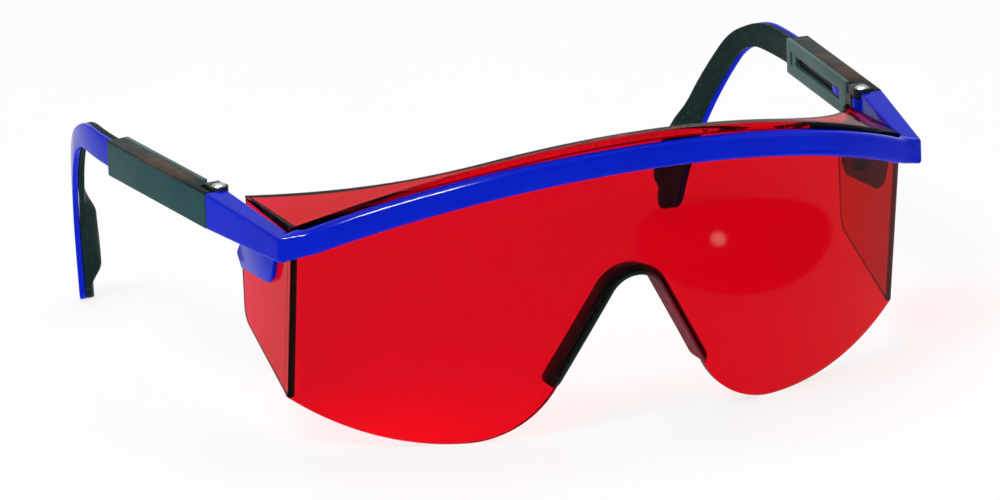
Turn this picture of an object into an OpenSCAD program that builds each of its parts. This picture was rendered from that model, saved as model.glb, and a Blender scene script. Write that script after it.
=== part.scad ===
// Laser viewing glasses: a one-piece filter shield under an arched brow bar, with temples that
// fold, tilt and lengthen. Millimetres, Z up, front towards -Y, standing on the two lens lobes
// and the two ear tips. Every side piece is drawn for the right side and mirrored for the left.

/* [Lens] */
// Width of the lens over its side shields
lens_w = 136; // [130:1:140]
// Wall of the lens
lens_t = 2.2; // [1.8:0.1:2.6]
// Plan radius of the front panel
front_r = 123.5; // [116:0.5:135]
// Lean of the front panel, top forwards
lean = 10.5; // [7:0.5:13]
// Height of the lens corners above the table
corner_z = 49.5; // [47:0.5:54]
// Front-view radius of the brow guard's arch
arch_r = 149; // [140:1:165]
// Depth of the side shields behind the corners
shield_depth = 30.5; // [28:0.5:32]
// Height of the shields' rear lower corner
shield_rear_z = 22; // [18:0.5:26]
// Radius that rounds the shields' rear lower corner
shield_round = 4; // [2:0.5:6]
// Depth of the brow guard behind the corners at its sides
guard_depth = 26.5; // [24:0.5:27]
// How far the guard's rear edge lies in front of the corners at its middle
guard_mid = 17.5; // [15:0.5:19]
// Distance of each lobe's lowest point from the middle
lobe_x = 34.5; // [32:0.5:37]
// Radius of the lobe's outer sweep
lobe_out_r = 55; // [48:0.5:60]
// Radius of the lobe's inner sweep
lobe_in_r = 20.4; // [17:0.2:23]

/* [Nose] */
// Height of the nose cut-out's crown
nose_z = 34; // [31:0.5:37]
// Radius of the nose cut-out's crown
nose_r = 6; // [5:0.25:8]
// Height where the nose pad's legs end
pad_end_z = 11.5; // [9:0.5:16]
// Wall of the nose pad's flange
pad_t = 1.7; // [1.4:0.1:2.2]
// Depth of the flange behind the lens
pad_depth = 7.2; // [5:0.2:9]
// Width of the lip on the lens's front
pad_lip_w = 2.4; // [1.8:0.1:3]
// Thickness of the lip
pad_lip_t = 0.8; // [0.6:0.1:1.2]
// Bite of the groove that grips the lens edge
pad_bite = 1.1; // [0.8:0.1:1.4]
// Number of grooves along the flange
pad_grooves = 4; // [3:1:5]
// Width of one groove
groove_w = 0.7; // [0.4:0.1:0.9]
// Depth of one groove
groove_d = 0.5; // [0.3:0.1:0.7]

/* [Brow bar] */
// Height of the bar's section
bar_h = 5.4; // [4.8:0.2:6.2]
// Depth of the bar's section
bar_t = 3.6; // [3.2:0.2:4.4]
// Rounding of the section's edges
bar_round = 1.2; // [0.8:0.1:1.5]
// Lean of the section, top forwards
bar_lean = 6; // [2:0.5:12]
// How far the bar's middle stands in front of the lens
bar_proud = 2.8; // [2:0.1:3.6]
// Depth of the bar's middle below the top of the lens
bar_below = 5.5; // [4.5:0.1:6.5]
// How far the bar's ends stand in front of the lens corners
bar_end_front = 3.4; // [2.8:0.1:4]
// Depth of the bar's ends below the lens corners
bar_end_drop = 2.6; // [2:0.1:3.2]
// How far the bar's ends lie inside the lens corners
bar_inset = 2; // [1:0.5:4]

/* [Arms and clips] */
// How far the arm's front corner stands outside the lens
arm_out = 3.8; // [3.2:0.1:4.4]
// How far the arm's front corner stands in front of the lens corner
arm_front = 2.3; // [1.5:0.1:3]
// Radius that rounds the arm's front corner
corner_r = 3; // [2:0.5:5]
// Height of the arm at its front corner
arm_front_h = 5.8; // [5.4:0.1:6.4]
// Height of the arm at its rear end
arm_h = 7.7; // [7:0.1:8.4]
// How far the arm's rear top lies over the lens corner
arm_top = 1.5; // [1:0.1:2]
// Thickness of the hanging side clips
clip_t = 1.8; // [1.4:0.1:2.2]
// Drop of the clips below the arm
clip_drop = 9.6; // [8:0.2:11]
// Where the clip's front edge starts behind the corner
clip_front = 7.6; // [6:0.2:9]
// Radius of the stud that snaps through the shield
stud_r = 1.5; // [1.2:0.1:1.8]
// Distance of the stud behind the corner
stud_y = 19; // [16:0.5:22]
// Depth of the stud below the arm
stud_drop = 4.6; // [4:0.1:5.5]

/* [Fold hinge] */
// Distance of the hinge axis outside the lens
hinge_out = 4.7; // [4.4:0.1:5.2]
// Distance of the hinge axis behind the lens corner
hinge_y = 29.2; // [28.6:0.1:30.5]
// Outward splay of the open temples
splay = 5.3; // [3.5:0.1:6]
// Radius of the hinge barrel
barrel_r = 2; // [1.8:0.1:2.2]
// Radius of the hinge pin
hinge_pin_r = 0.9; // [0.7:0.05:1]
// Radius of the hinge pin's domed head
pin_head_r = 1.5; // [1.2:0.1:1.7]
// Height of the hinge block's upper eye
eye_h = 1.8; // [1.4:0.1:2.2]

/* [Tilt pivot] */
// Distance of the tilt pin behind the hinge axis
tilt_y = 9.5; // [9.2:0.1:9.8]
// Radius of the tilt pin
tilt_pin_r = 0.8; // [0.6:0.05:1]
// Radius of the disc that turns on the tilt pin
disc_r = 2; // [1.8:0.1:2.1]
// Height of the hinge block's neck
neck_h = 3.5; // [2.8:0.1:3.6]

/* [Sleeve] */
// Length of the sleeve behind the hinge axis
sleeve_end = 46.25; // [44:0.25:50]
// Width of the sleeve
sleeve_w = 5; // [4.8:0.1:5.6]
// Height of the sleeve
sleeve_h = 7.7; // [7.4:0.1:8.4]
// Wall of the sleeve and of its cover
sleeve_wall = 1; // [0.8:0.05:1.1]
// Where the cover starts behind the hinge axis
cover_y = 7.6; // [7.2:0.1:7.8]
// Where the slot starts behind the hinge axis
slot_y = 12; // [11.8:0.1:13]
// Length of the slot
slot_len = 28.5; // [26:0.5:30]
// Height of the slot
slot_h = 2.35; // [2:0.05:2.8]
// Length of the window behind the slot
window_len = 1.5; // [1:0.1:2]
// Height of the window
window_h = 3; // [2:0.1:3.6]
// Web left between the slot's end and the window
window_web = 1.9; // [1.4:0.1:2.2]

/* [Ear-piece] */
// Height of the shank and width of the hook
ear_h = 6.2; // [6:0.1:6.8]
// Height of the tongue inside the sleeve
tongue_h = 5.4; // [4.8:0.1:5.4]
// Length of the nub that shows in the slot
nub_len = 5; // [3:0.25:6]
// Thickness of the blue shell
shell_t = 1.75; // [1.4:0.05:2]
// Thickness of the soft layer on its inside
soft_t = 1.25; // [0.9:0.05:1.3]
// Plan radius in which the ear-piece curves inwards
ear_bend_r = 103; // [96:1:115]
// Length of the straight shank
shank_len = 17; // [12:0.5:22]
// Radius of the bend over the ear
hook_r = 20; // [17:0.5:24]
// Angle of the bend over the ear
hook_angle = 48; // [44:1:54]
// Radius of the long sweep behind the ear
tail_r = 90; // [80:1:110]
// Swell of the soft layer behind the ear
swell = 2.2; // [1.2:0.1:2.6]
// Radius of the swell's crown
swell_r = 37; // [30:1:45]
// Height of the swell's middle above the table
swell_z = 16; // [14:0.5:18]

/* [Fits] */
// Gap between pieces that rest on each other
seat_gap = 0.1; // [0.05:0.05:0.2]
// Radial clearance of the pins
pin_gap = 0.05; // [0.02:0.01:0.08]
// Clearance of the tongue in the sleeve
slide_gap = 0.15; // [0.1:0.05:0.25]
// Gap between parts that turn past each other
turn_gap = 0.3; // [0.25:0.05:0.4]

/* [Hidden] */
$fn = 64;
big_fn = 180;
far = 300;

blue = [0.03, 0.12, 0.72];
red = [0.80, 0.02, 0.12, 0.75];
black = [0.15, 0.22, 0.22];
dark_red = [0.25, 0.03, 0.06];
steel = [0.78, 0.79, 0.80];

// Lens
half_w = lens_w / 2;
front_cy = sqrt(pow(front_r, 2) - pow(half_w, 2));
arch_cz = corner_z - sqrt(pow(arch_r, 2) - pow(half_w, 2));
arch_top = arch_cz + arch_r;
guard_rise = guard_depth + guard_mid;
guard_r = (pow(half_w, 2) + pow(guard_rise, 2)) / (2 * guard_rise);
guard_cy = guard_r - guard_mid;
guard_low = corner_z - lens_t - 0.3;
side_bottom = lobe_out_r - sqrt(pow(lobe_out_r, 2) - pow(half_w - lobe_x, 2));
hem_y = (corner_z - side_bottom) * tan(lean) + 0.3;

// Nose cut-out: two circles joined by their inner tangent, offset by g towards the lens
nose_cz = nose_z - nose_r;
nose_run = sqrt(pow(lobe_x, 2) + pow(nose_cz - lobe_in_r, 2));
crown_steps = 20;
nose_tangent = atan2(lobe_in_r - nose_cz, lobe_x) + acos((nose_r + lobe_in_r) / nose_run);

// Brow bar: the arc through its middle and its two ends, in its own inclined plane
bar_half_w = half_w - bar_inset;
bar_front = front_r - front_cy + bar_proud;
bar_rise = arch_top - corner_z - bar_below;
bar_slope = atan2(bar_rise + bar_end_drop, bar_front - bar_end_front);
bar_run = norm([bar_rise + bar_end_drop, bar_front - bar_end_front]);
bar_sweep_r = (pow(bar_half_w, 2) + pow(bar_run, 2)) / (2 * bar_run);

// Arm and hinge
arm_rear_top = corner_z + arm_top;
arm_z = arm_rear_top - arm_h / 2;
arm_bottom = arm_rear_top - arm_h;
arm_front_top = corner_z + 0.1;
arm_front_bottom = arm_front_top - arm_front_h;
arm_overlap = 2;
hinge_x = half_w + hinge_out;
eye_proud = 0.6;
eye_top = arm_rear_top + eye_proud;
knuckle_top = eye_top - eye_h - turn_gap;
lower_eye_h = 1.5;
knuckle_bottom = arm_bottom + lower_eye_h + turn_gap;
arm_end = -1.8;
clear_z = arm_bottom - 2.4;
neck_w = 3.4;
web_y = barrel_r + turn_gap;
web_t = 1.3;

// Sleeve, in the temple's own frame: X outwards from the hinge axis, Y along the sleeve
sleeve_in = -1;
sleeve_out = sleeve_in + sleeve_w;
sleeve_front = -1.2;
sleeve_bottom = arm_z - sleeve_h / 2;
channel_in = sleeve_in + sleeve_wall;
channel_out = sleeve_out - sleeve_wall;
walls_y = web_y + web_t + 0.6;
pin_seat = sleeve_wall / 2;

// Ear-piece, in the same frame
tongue_y = tilt_y + disc_r + 0.5;
shank_y = sleeve_end + turn_gap;
ear_in = channel_in + (channel_out - channel_in - shell_t - soft_t) / 2;
ear_cx = ear_in + (shell_t + soft_t) / 2 - ear_bend_r;
shank_z = arm_z + 0.2;
bend_y = shank_y + shank_len;
bend_cz = shank_z - hook_r;
bend_end = 90 - hook_angle;
tail_cy = bend_y + (hook_r - tail_r) * cos(bend_end);
tail_cz = bend_cz + (hook_r - tail_r) * sin(bend_end);
tip_flat = 0.6;
tail_spare = 4;
tip_z = ear_h / 2 + tip_flat;
tail_end = asin((tip_z - tail_cz) / tail_r);
tip_y = tail_cy + tail_r * cos(tail_end);
swell_turn = asin((tip_y - shank_y - 5) / ear_bend_r);

// The origin lies under the middle of the whole object
bar_reach = (bar_h / 2 - bar_round) * sin(bar_lean) + (bar_t / 2 - bar_round) * cos(bar_lean) + bar_round;
rear_local = tip_y + ear_h / 2;
rear_x = ear_cx + sqrt(pow(ear_bend_r + (shell_t + soft_t) / 2, 2) - pow(rear_local - shank_y, 2));
rear_y = hinge_y - rear_x * sin(splay) + rear_local * cos(splay);
mid_y = (rear_y - bar_front - bar_reach) / 2;

module seated() {
    translate([0, -mid_y, 0]) children();
}

module left_side() {
    seated() mirror([1, 0, 0]) children();
}

module right_side() {
    seated() children();
}

// The right temple's own frame
module temple() {
    translate([hinge_x, hinge_y, 0]) rotate([0, 0, -splay]) children();
}

// A block from one corner to the opposite one
module block(low, high) {
    translate(low) cube(high - low);
}

// Rectangle with round corners, centred
module round_rect(w, h, r) {
    square([w - 2 * r, h], center = true);
    square([w, h - 2 * r], center = true);
    for (x = [-1, 1], y = [-1, 1])
        translate([x * (w / 2 - r), y * (h / 2 - r)]) circle(r);
}

// A wedge of the plane between two angles less than 180 degrees apart
module wedge(from, to, reach) {
    mid = (from + to) / 2;
    long = reach / cos((to - from) / 2);
    polygon([[0, 0], reach * [cos(from), sin(from)], long * [cos(mid), sin(mid)],
             reach * [cos(to), sin(to)]]);
}

// Curved band of a given width along an arc
module arc_band(r, w, from, to) {
    intersection() {
        difference() {
            circle(r + w / 2, $fn = big_fn);
            circle(r - w / 2, $fn = big_fn);
        }
        wedge(from, to, 2 * r);
    }
}

// Draws a front view, X and Z, through the whole depth
module through_y() {
    translate([0, far / 2, 0]) rotate([90, 0, 0]) linear_extrude(far) children();
}

// Draws a side view, Y and Z, between two X values
module across_x(from, to) {
    translate([from, 0, 0]) rotate([90, 0, 90]) linear_extrude(to - from) children();
}

// Everything inside the lens's leaning front surface, shrunk by a depth
module inside_front(depth) {
    translate([0, 0, corner_z]) rotate([lean, 0, 0])
        translate([0, front_cy, -far / 2]) cylinder(r = front_r - depth, h = far, $fn = big_fn);
}

module front_shell(from, to) {
    difference() {
        inside_front(from);
        inside_front(to);
    }
}

// Everything under the arch of the brow guard, lowered by a depth
module under_arch(depth) {
    translate([0, far / 2, arch_cz]) rotate([90, 0, 0])
        cylinder(r = arch_r - depth, h = far, $fn = big_fn);
}

// Opening for the nose that the saddle fills, front view: a round crown and straight legs;
// g moves the edge into the lens
module nose_arch(g) {
    polygon([for (i = [0 : crown_steps + 2]) nose_point(i, g)]);
}

// The mouth of the opening between the two lobes, below the saddle
module nose_mouth() {
    difference() {
        translate([-lobe_x, -5]) square([2 * lobe_x, pad_end_z - seat_gap + 5]);
        for (x = [-lobe_x, lobe_x]) translate([x, lobe_in_r]) circle(lobe_in_r, $fn = big_fn);
    }
}

// Outline of the lens without its nose opening, front view
module lens_outline() {
    difference() {
        translate([-half_w, 0]) square([lens_w, arch_top + 1]);
        for (s = [0, 1]) mirror([s, 0])
            difference() {
                translate([lobe_x, -1]) square([half_w, side_bottom + 2]);
                translate([lobe_x, lobe_out_r]) circle(lobe_out_r, $fn = big_fn);
            }
    }
}

// Outline of a side shield, side view: straight rear edge, slanted hem, notch under the hinge
module shield_outline() {
    hem = atan2(shield_rear_z - side_bottom, shield_depth - hem_y);
    rear = [shield_depth - shield_round, shield_rear_z + shield_round / cos(hem)
            - shield_round * tan(hem)];
    polygon([[-far / 10, -1], [hem_y, -1], [hem_y, side_bottom],
             rear + shield_round * [sin(hem), -cos(hem)], rear + [shield_round, 0],
             [shield_depth, clear_z - 4], [guard_depth, clear_z], [guard_depth, arch_top + 1],
             [-far / 10, arch_top + 1]]);
    translate(rear) circle(shield_round);
}

// Front panel, side shields and brow guard in one hollow moulding
module lens() {
    inner_w = half_w - lens_t;
    color(red) seated() difference() {
        intersection() {
            inside_front(0);
            under_arch(0);
            through_y() lens_outline();
            across_x(-lens_w, lens_w) shield_outline();
        }
        intersection() {
            inside_front(lens_t);
            under_arch(lens_t);
            block([-inner_w, -far / 4, -1], [inner_w, far / 4, far]);
        }
        intersection() {
            translate([0, guard_cy, 0]) cylinder(r = guard_r, h = far, $fn = big_fn);
            block([-inner_w, -far / 4, guard_low], [inner_w, far / 4, far]);
        }
        through_y() intersection() {
            nose_arch(pad_bite);
            translate([-half_w, pad_end_z - seat_gap]) square([lens_w, arch_top]);
        }
        through_y() nose_mouth();
        for (s = [-1, 1])
            translate([s * half_w, stud_y, arm_bottom - stud_drop]) rotate([0, 90, 0])
                cylinder(r = stud_r + seat_gap, h = 3 * lens_t, center = true);
    }
}

// Saddle on the nose edge: a front lip, a groove for the lens and a ribbed flange behind it
module nose_pad() {
    front = -seat_gap - pad_lip_t;
    rear = lens_t + seat_gap + pad_depth;
    color(dark_red) seated() intersection() {
        difference() {
            union() {
                pad_strip(front, -seat_gap, 0, pad_lip_w);
                pad_strip(-seat_gap - 0.1, lens_t + seat_gap + 0.1, 0, pad_bite - seat_gap);
                pad_strip(lens_t + seat_gap, rear, 0, pad_t);
            }
            for (i = [0 : pad_grooves - 1])
                pad_strip(groove_at(i), groove_at(i) + groove_w, -1, groove_d);
        }
        block([-half_w, -far / 4, pad_end_z], [half_w, far / 4, corner_z]);
    }
}

// Strip along the crown and both flanks of the nose opening, between two depths behind the
// lens's front and two distances from the opening's edge
module pad_strip(front, rear, from, to) {
    last = crown_steps + 2;
    intersection() {
        front_shell(front, rear);
        through_y() polygon([for (i = [0 : 2 * last + 1])
            i <= last ? nose_point(i, to) : nose_point(2 * last + 1 - i, from)]);
    }
}

// Points along the nose opening's edge, from the right leg's end over the crown to the left's
function nose_point(i, g) =
    let (sweep = (180 - 2 * nose_tangent) / crown_steps,
         at = nose_tangent + sweep * min(max(i - 1, 0), crown_steps),
         leg = i == 0 ? 1 : (i == crown_steps + 2 ? -1 : 0))
    [0, nose_cz] + (nose_r + g) * [cos(at), sin(at)]
    + nose_run * abs(leg) * [leg * sin(nose_tangent), -cos(nose_tangent)];

function rib_w() = (pad_depth - pad_grooves * groove_w) / (pad_grooves + 1);
function groove_at(i) = lens_t + seat_gap + rib_w() + i * (rib_w() + groove_w);

// Rounded section swept along an arc in an inclined plane, so that it arches and curves at once
module bar_sweep() {
    reach = asin(bar_half_w / bar_sweep_r) + 1;
    translate([0, -bar_front, corner_z + bar_rise]) rotate([-bar_slope, 0, 0])
        translate([0, bar_sweep_r, 0]) rotate([0, 0, -90 - reach])
            rotate_extrude(angle = 2 * reach, $fn = big_fn)
                translate([bar_sweep_r, 0]) rotate(90 - bar_slope - bar_lean)
                    round_rect(bar_h, bar_t, bar_round);
}

// Plan of the right arm, from the bar to the hinge, with its front corner rounded
module arm_plan() {
    corner = [half_w + arm_out, -arm_front];
    front = [bar_half_w - 1, -bar_end_front - bar_t / 2 - 1];
    rear_out = temple_point(sleeve_out, arm_end);
    rear_in = temple_point(sleeve_in, arm_end);
    to_front = (front - corner) / norm(front - corner);
    to_rear = (rear_out - corner) / norm(rear_out - corner);
    half_turn = acos(to_front * to_rear) / 2;
    run = corner_r / tan(half_turn);
    middle = (to_front + to_rear) / norm(to_front + to_rear);
    polygon([front, corner + run * to_front, corner + run * to_rear, rear_out, rear_in,
             [half_w + turn_gap, arm_overlap], [bar_half_w - 1, arm_overlap]]);
    intersection() {
        translate(corner + corner_r / sin(half_turn) * middle) circle(corner_r, $fn = big_fn);
        polygon([corner, corner + run * to_front, corner + run * to_rear]);
    }
}

function temple_point(x, y) = [hinge_x + x * cos(splay) + y * sin(splay),
                               hinge_y - x * sin(splay) + y * cos(splay)];

module arm() {
    difference() {
        intersection() {
            linear_extrude(far) arm_plan();
            across_x(0, far)
                polygon([[-far / 10, arm_front_bottom], [-far / 10, arm_front_top],
                         [-arm_front, arm_front_top], [hinge_y - arm_overlap, arm_rear_top],
                         [hinge_y + arm_overlap, arm_rear_top], [hinge_y + arm_overlap, arm_bottom],
                         [hinge_y - arm_overlap, arm_bottom], [-arm_front, arm_front_bottom]]);
        }
        temple() {
            translate([0, 0, knuckle_top]) cylinder(r = barrel_r + turn_gap + 0.15, h = far);
            translate([0, 0, knuckle_bottom - far]) cylinder(r = barrel_r + turn_gap + 0.15, h = far);
        }
    }
}

module knuckle() {
    temple() difference() {
        union() {
            translate([0, 0, knuckle_bottom]) cylinder(r = barrel_r, h = knuckle_top - knuckle_bottom);
            block([sleeve_in, arm_end - 1, knuckle_bottom], [barrel_r, 0, knuckle_top]);
        }
        cylinder(r = hinge_pin_r + pin_gap, h = far);
    }
}

// Clip that hangs on the outside of the shield, with the stud that snaps through it
module clip() {
    foot = arm_bottom - clip_drop;
    across_x(half_w + seat_gap, half_w + seat_gap + clip_t)
        polygon([[clip_front, arm_bottom + 1], [clip_front + 0.5, arm_bottom - 3],
                 [clip_front + 2.4, foot + 2.6], [clip_front + 5, foot + 0.9], [shield_depth - 2.6, foot],
                 [shield_depth - 0.4, foot + 2.4], [shield_depth - 0.4, clear_z - 4],
                 [guard_depth, clear_z], [guard_depth, arm_bottom + 1]]);
    translate([half_w - lens_t - 0.4, stud_y, arm_bottom - stud_drop]) rotate([0, 90, 0])
        cylinder(r = stud_r, h = lens_t + 1);
}

module brow_bar() {
    color(blue) seated() difference() {
        union() {
            bar_sweep();
            for (s = [0, 1]) mirror([s, 0, 0]) {
                arm();
                knuckle();
                clip();
            }
        }
        difference() {
            intersection() {
                inside_front(-seat_gap);
                block([-half_w - seat_gap, -far / 4, 0], [half_w + seat_gap, far / 4, far]);
            }
            for (s = [-1, 1])
                translate([s * half_w, stud_y, arm_bottom - stud_drop]) rotate([0, 90, 0])
                    cylinder(r = stud_r, h = 3 * lens_t, center = true);
        }
    }
}

// Fork round the knuckle, a neck, and the disc that the sleeve tilts on
module hinge_block() {
    difference() {
        union() {
            translate([0, 0, eye_top - eye_h]) eye_plate(eye_h);
            translate([0, 0, arm_bottom]) eye_plate(lower_eye_h);
            block([-neck_w / 2, web_y, arm_bottom], [neck_w / 2, web_y + web_t, eye_top]);
            block([sleeve_in, web_y + web_t - 0.3, arm_z - neck_h / 2],
                  [channel_out - slide_gap, cover_y - turn_gap, arm_z + neck_h / 2]);
            block([channel_in + slide_gap, cover_y - 1, arm_z - neck_h / 2],
                  [channel_out - slide_gap, tilt_y, arm_z + neck_h / 2]);
            translate([channel_in + slide_gap, tilt_y, arm_z]) rotate([0, 90, 0])
                cylinder(r = disc_r, h = channel_out - channel_in - 2 * slide_gap);
        }
        cylinder(r = hinge_pin_r + pin_gap, h = far);
        translate([0, tilt_y, arm_z]) rotate([0, 90, 0])
            cylinder(r = tilt_pin_r + pin_gap, h = 4 * sleeve_w, center = true);
    }
}

module eye_plate(h) {
    cylinder(r = barrel_r, h = h);
    block([-neck_w / 2, 0, 0], [neck_w / 2, web_y + web_t, h]);
}

// Pin through the fold hinge with a domed head
module hinge_pin() {
    dome_h = 0.6;
    dome_r = (pow(pin_head_r, 2) + pow(dome_h, 2)) / (2 * dome_h);
    translate([0, 0, arm_bottom]) cylinder(r = hinge_pin_r, h = eye_top - arm_bottom);
    intersection() {
        translate([0, 0, eye_top + dome_h - dome_r]) sphere(dome_r);
        translate([0, 0, eye_top]) cylinder(r = pin_head_r, h = dome_h + 1);
    }
}

module tilt_pin() {
    from = channel_in - pin_seat + pin_gap;
    to = channel_out + pin_seat - pin_gap;
    translate([from, tilt_y, arm_z]) rotate([0, 90, 0]) cylinder(r = tilt_pin_r, h = to - from);
}

// Blind seat for the tilt pin
module tilt_seat() {
    translate([channel_in - pin_seat, tilt_y, arm_z]) rotate([0, 90, 0])
        cylinder(r = tilt_pin_r + pin_gap, h = channel_out - channel_in + 2 * pin_seat);
}

// Outer channel of the temple, open inwards
module sleeve() {
    notch_x = barrel_r + turn_gap;
    difference() {
        block([channel_in + seat_gap / 2, sleeve_front, sleeve_bottom],
              [sleeve_out, sleeve_end, sleeve_bottom + sleeve_h]);
        block([-sleeve_w, -sleeve_w, sleeve_bottom + sleeve_wall],
              [channel_out, sleeve_end + 1, sleeve_bottom + sleeve_h - sleeve_wall]);
        block([-sleeve_w, -sleeve_w, 0], [notch_x, walls_y, far]);
        tilt_seat();
    }
}

// Inner cover with the slot, the window behind it and the seat of the tilt pin
module sleeve_cover() {
    slot_end = slot_y + slot_len;
    difference() {
        block([sleeve_in, cover_y, sleeve_bottom], [channel_in, sleeve_end, sleeve_bottom + sleeve_h]);
        across_x(-sleeve_w, sleeve_w) {
            translate([(slot_y + slot_end) / 2, arm_z]) round_rect(slot_len, slot_h, slot_h / 5);
            translate([slot_end + window_web + window_len / 2, arm_z])
                round_rect(window_len, window_h, window_len / 5);
        }
        tilt_seat();
    }
}

// Side view of the shank and the bend over the ear, drawn with a given width
module shank_profile(from, w) {
    translate([from, shank_z - w / 2]) square([bend_y - from, w]);
    translate([bend_y, bend_cz]) arc_band(hook_r, w, bend_end, 90);
}

// Side view of the long sweep behind the ear, which ends in a flat round
module tail_profile(w) {
    difference() {
        translate([tail_cy, tail_cz]) arc_band(tail_r, w, tail_end - tail_spare, bend_end);
        difference() {
            translate([tip_y, tip_z]) rotate(tail_end) translate([-ear_h, -2 * ear_h])
                square([2 * ear_h, 2 * ear_h]);
            translate([tip_y, tip_z]) circle(w / 2 + tip_flat);
        }
    }
}

// Cuts a form to the side view of the ear-piece
module ear_cut(from, w) {
    intersection() {
        children();
        across_x(-far / 5, sleeve_w * 2) shank_profile(from, w);
    }
    intersection() {
        children();
        across_x(-far / 5, sleeve_w * 2) tail_profile(w);
    }
}

// Upright ring in which the ear-piece curves inwards, between two depths from its inner face
module ear_ring(from, to) {
    inner = ear_bend_r - (shell_t + soft_t) / 2;
    translate([ear_cx, shank_y, 0]) rotate([0, 0, 180]) difference() {
        cylinder(r = inner + to, h = far, $fn = big_fn);
        translate([0, 0, -1]) cylinder(r = inner + from, h = far + 2, $fn = big_fn);
    }
}

// Hard outer shell with the tongue and the nub that runs in the slot
module ear_shell() {
    ear_cut(shank_y, ear_h) ear_ring(soft_t + seat_gap, soft_t + shell_t);
    block([channel_in + slide_gap, tongue_y, arm_z - tongue_h / 2],
          [channel_out - slide_gap, shank_y, arm_z + tongue_h / 2]);
    block([ear_in + soft_t + seat_gap + 0.2, shank_y - 1, arm_z - tongue_h / 2],
          [ear_in + soft_t + shell_t - 0.1, shank_y + 1, arm_z + tongue_h / 2]);
    across_x(sleeve_in + 0.2, channel_in + 1)
        translate([slot_y + slide_gap * 2 + nub_len / 2, arm_z])
            round_rect(nub_len, slot_h - 2 * slide_gap, (slot_h - 2 * slide_gap) / 4);
}

// Soft layer against the head, swelling behind the ear
module ear_pad() {
    narrow = ear_h - 0.4;
    normal = [cos(swell_turn), sin(swell_turn)];
    inner = ear_bend_r - (shell_t + soft_t) / 2;
    crown = [ear_cx, shank_y] + (inner + swell_r - swell) * normal;
    ear_cut(shank_y + turn_gap, narrow) ear_ring(0, soft_t);
    intersection() {
        translate([crown[0], crown[1], swell_z]) rotate([90, 0, swell_turn])
            cylinder(r = swell_r, h = far, center = true, $fn = big_fn);
        translate([ear_cx, shank_y, 0]) rotate([0, 0, 180])
            cylinder(r = inner + soft_t / 2, h = far, $fn = big_fn);
        across_x(-far / 5, sleeve_w * 2) tail_profile(narrow);
    }
}

module right_hinge_block() { color(black) right_side() temple() hinge_block(); }
module right_hinge_pin() { color(steel) right_side() temple() hinge_pin(); }
module right_tilt_pin() { color(steel) right_side() temple() tilt_pin(); }
module right_sleeve() { color(black) right_side() temple() sleeve(); }
module right_sleeve_cover() { color(black) right_side() temple() sleeve_cover(); }
module right_ear_shell() { color(blue) right_side() temple() ear_shell(); }
module right_ear_pad() { color(black) right_side() temple() ear_pad(); }
module left_hinge_block() { color(black) left_side() temple() hinge_block(); }
module left_hinge_pin() { color(steel) left_side() temple() hinge_pin(); }
module left_tilt_pin() { color(steel) left_side() temple() tilt_pin(); }
module left_sleeve() { color(black) left_side() temple() sleeve(); }
module left_sleeve_cover() { color(black) left_side() temple() sleeve_cover(); }
module left_ear_shell() { color(blue) left_side() temple() ear_shell(); }
module left_ear_pad() { color(black) left_side() temple() ear_pad(); }

brow_bar();
lens();
nose_pad();
right_hinge_block();
right_hinge_pin();
right_tilt_pin();
right_sleeve();
right_sleeve_cover();
right_ear_shell();
right_ear_pad();
left_hinge_block();
left_hinge_pin();
left_tilt_pin();
left_sleeve();
left_sleeve_cover();
left_ear_shell();
left_ear_pad();
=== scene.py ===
"""Laser viewing glasses: a red wrap-round filter under a blue brow bar, with temples that fold,
tilt and lengthen. Pieces are drawn in millimetres, as in the part's source, with Y at 0 on the
lens's corners, and become metres when they are placed."""

import logging
import math
from collections.abc import Iterable
from dataclasses import Field, dataclass, field
from enum import Enum

import bmesh
import bpy
from mathutils import Matrix, Vector


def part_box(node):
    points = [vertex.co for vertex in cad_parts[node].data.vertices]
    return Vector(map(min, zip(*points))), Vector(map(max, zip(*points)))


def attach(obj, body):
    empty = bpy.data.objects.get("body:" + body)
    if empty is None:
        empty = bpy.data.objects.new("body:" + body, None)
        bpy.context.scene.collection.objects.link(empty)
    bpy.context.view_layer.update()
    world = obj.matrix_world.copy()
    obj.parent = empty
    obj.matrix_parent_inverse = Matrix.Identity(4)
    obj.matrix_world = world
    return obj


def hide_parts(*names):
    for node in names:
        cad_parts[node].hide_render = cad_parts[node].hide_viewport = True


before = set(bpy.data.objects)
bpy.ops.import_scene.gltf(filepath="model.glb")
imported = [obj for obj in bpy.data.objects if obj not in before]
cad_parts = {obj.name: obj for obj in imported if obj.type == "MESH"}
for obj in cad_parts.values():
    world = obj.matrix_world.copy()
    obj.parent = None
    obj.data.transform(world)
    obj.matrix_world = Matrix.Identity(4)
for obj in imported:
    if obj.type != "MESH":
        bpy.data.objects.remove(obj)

logging.basicConfig(level=logging.INFO, format="%(message)s")
log = logging.getLogger("glasses")

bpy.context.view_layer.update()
MM = 0.001
BMesh = bmesh.types.BMesh
Material = bpy.types.Material
Pair = tuple[float, float]


class Side(Enum):
    """The side of the object that a piece belongs to."""

    RIGHT = 1
    LEFT = -1

    @property
    def word(self) -> str:
        """The side's name in node and body names."""
        return self.name.lower()

    def mirror(self) -> Matrix:
        """The matrix that takes a right-hand piece to this side."""
        return Matrix.Diagonal((self.value, 1, 1, 1))


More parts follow.
